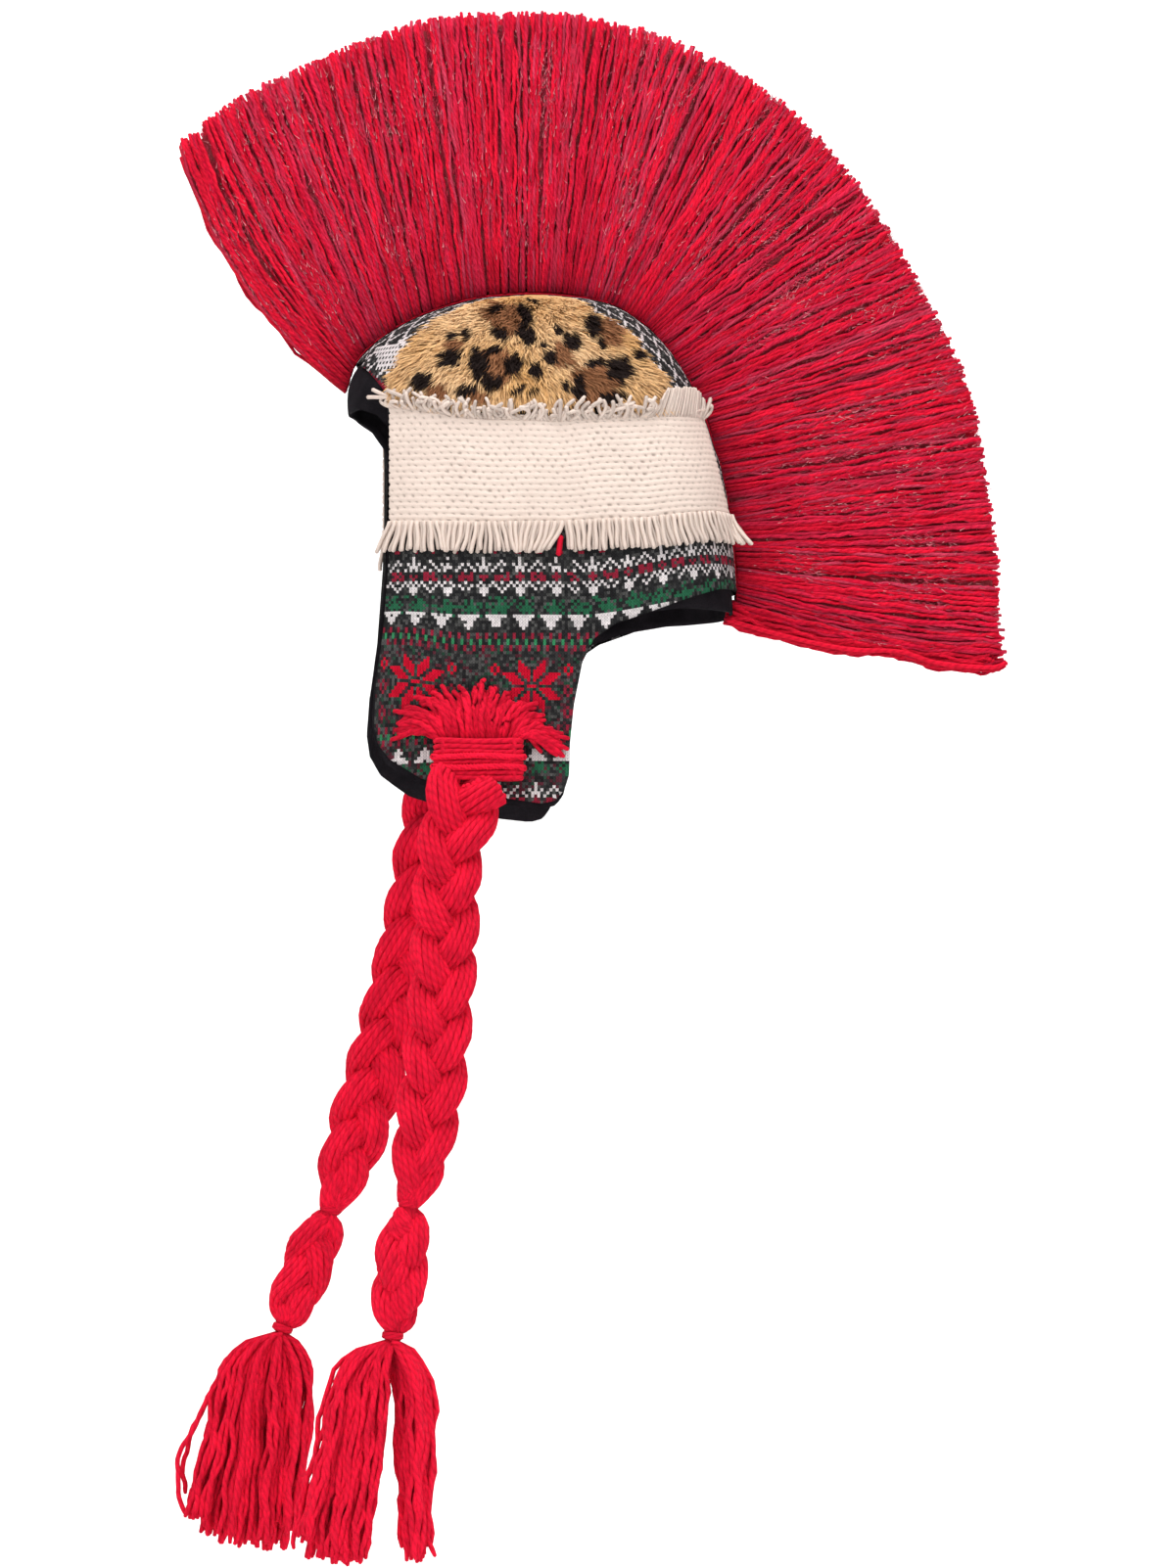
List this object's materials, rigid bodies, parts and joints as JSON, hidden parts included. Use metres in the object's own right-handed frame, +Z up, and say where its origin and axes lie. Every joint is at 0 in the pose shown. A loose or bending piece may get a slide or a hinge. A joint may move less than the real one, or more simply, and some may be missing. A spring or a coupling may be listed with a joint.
{
  "type": "earflap_hat",
  "caption": "Knitted earflap hat held as worn: front-to-back yarn crest, fur patches, woven fringed bands, black lining, and a plaited tie with bobble and tassel on each flap.",
  "frame": {"origin": "where the top of a head meets the inside of the crown", "axes": "+Z up, the brow faces -Y, the wearer's left is +X"},
  "size_m": [0.205, 0.4534, 0.854],
  "materials": {
    "knit": "stranded wool knit, charcoal ground with white, green, maroon and red rows",
    "strip_knit": "charcoal knit with white dotted lines",
    "lining": "matt black fleece",
    "yarn": "soft red plied yarn",
    "fur": "short spotted pile, tan with brown and black spots",
    "woven": "cream cotton weave with horizontal ribs and cut fringes"
  },
  "bodies": {
    "root": {"side_panel_left": "knit", "side_panel_right": "knit", "crown_strip": "strip_knit", "lining": "lining", "crest": "yarn", "fur_patch_left": "fur", "fur_patch_right": "fur", "woven_band_left": "woven", "woven_band_right": "woven", "tie_tuft_left": "yarn", "tie_band_left": "yarn", "plait_left": "yarn", "upper_tie_left": "yarn", "bobble_left": "yarn", "lower_tie_left": "yarn", "tassel_left": "yarn", "tie_tuft_right": "yarn", "tie_band_right": "yarn", "plait_right": "yarn", "upper_tie_right": "yarn", "bobble_right": "yarn", "lower_tie_right": "yarn", "tassel_right": "yarn"}
  },
  "joints": []
}
